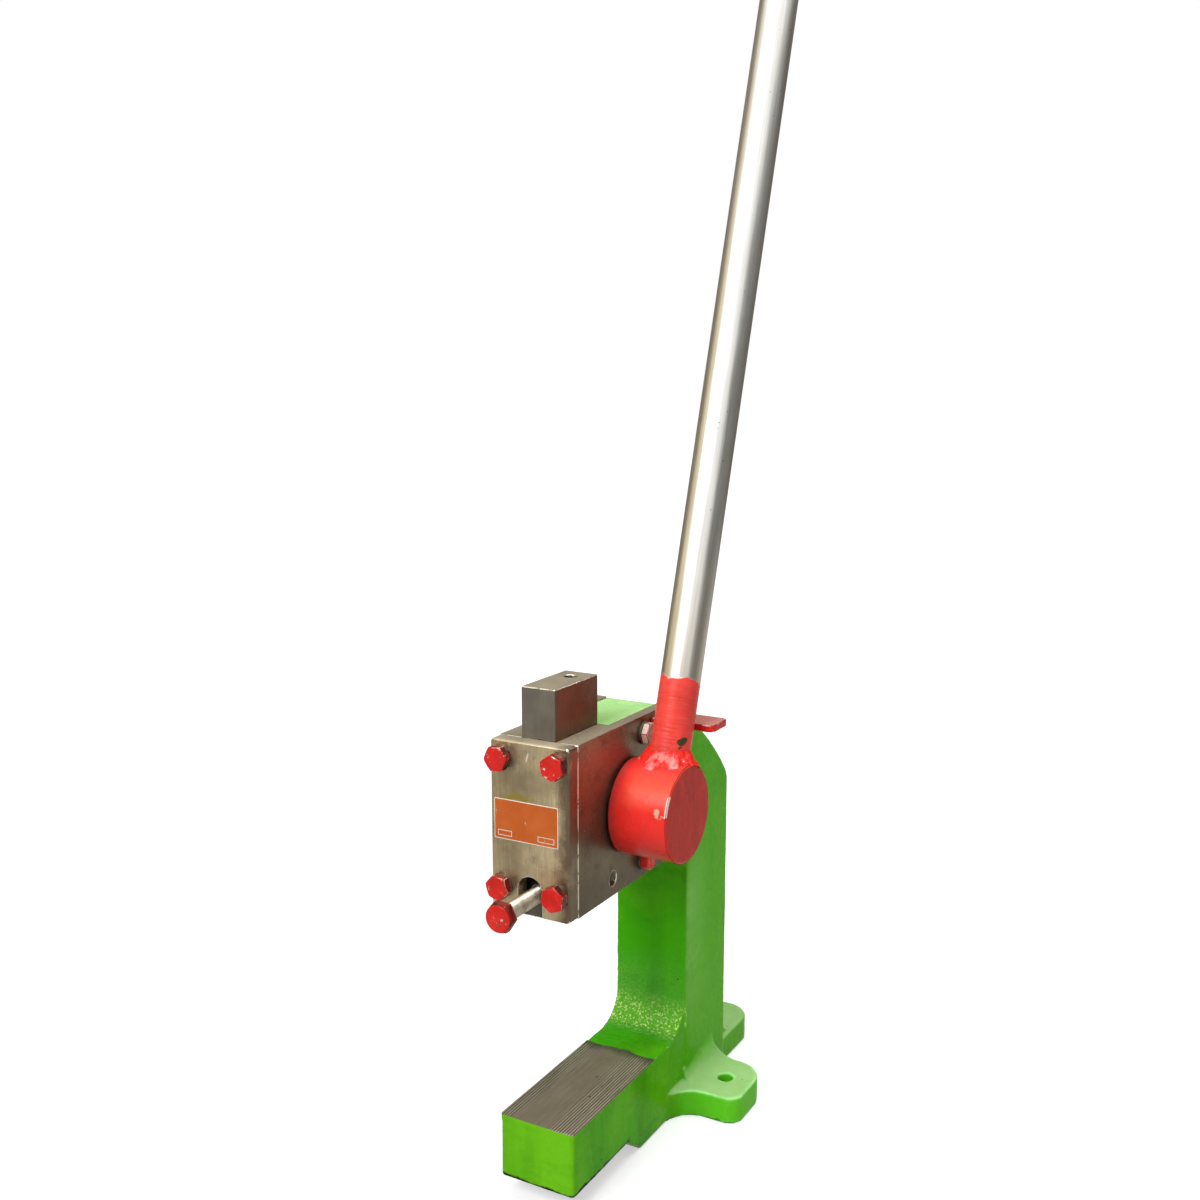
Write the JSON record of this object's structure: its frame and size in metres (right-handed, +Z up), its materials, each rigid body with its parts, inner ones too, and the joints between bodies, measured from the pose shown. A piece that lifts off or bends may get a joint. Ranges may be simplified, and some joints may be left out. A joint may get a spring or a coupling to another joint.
{
  "type": "hand lever press",
  "caption": "Bench hand press: a cast C frame with one ear and a rear foot, a racked ram guided between bolted steel cheeks, and a long tube lever on a pinion shaft that drives the ram down.",
  "frame": {"origin": "on the middle plane of the ram and column, level with the ear hole, on the underside of the base", "axes": "+Z up, -Y towards the user at the front plate, +X to the side with the lever hub"},
  "size_m": [0.146, 0.4185, 1.0153],
  "materials": {
    "green_enamel": "glossy green enamel on a rough casting, planed bare on the anvil",
    "red_paint": "glossy red paint, brushed on",
    "ground_steel": "ground, with an oily brown tint",
    "bright_steel": "bright, drawn or turned",
    "dark_steel": "dark oiled",
    "bronze": "turned bronze"
  },
  "bodies": {
    "frame": {"frame_casting": "green_enamel", "right_cheek": "ground_steel", "left_cheek": "ground_steel", "front_plate": "ground_steel", "front_plate_bolts": "red_paint", "front_plate_washers": "dark_steel", "cheek_bolts": "red_paint", "cheek_bolt_washers": "dark_steel", "cheek_nuts": "red_paint", "stop_plate": "red_paint", "stop_weld": "red_paint", "right_bush": "bronze", "left_bush": "bronze"},
    "lever": {"pinion_shaft": "bright_steel", "lever_hub": "red_paint", "hub_key": "dark_steel", "lever_tube": "bright_steel", "lever_weld": "red_paint", "thrust_washer": "dark_steel", "end_washer": "dark_steel", "end_circlip": "dark_steel"},
    "ram": {"ram": "ground_steel"},
    "clamp": {"clamp_bolt": "red_paint"}
  },
  "joints": [
    {"name": "lever_swing", "type": "hinge", "parent": "frame", "child": "lever", "pos_m": [0, -0.1342, 0.3245], "axis": [1, 0, 0], "range_deg": [0, 120]},
    {"name": "ram_slide", "type": "slide", "parent": "frame", "child": "ram", "axis": [0, 0, -1], "range_m": [0, 0.038]},
    {"name": "clamp_screw", "type": "slide", "parent": "ram", "child": "clamp", "axis": [0, -1, 0], "range_m": [-0.005, 0.015]}
  ],
  "couplings": [
    {"joint": "ram_slide", "follows": "lever_swing", "m_per_rad": 0.018}
  ]
}
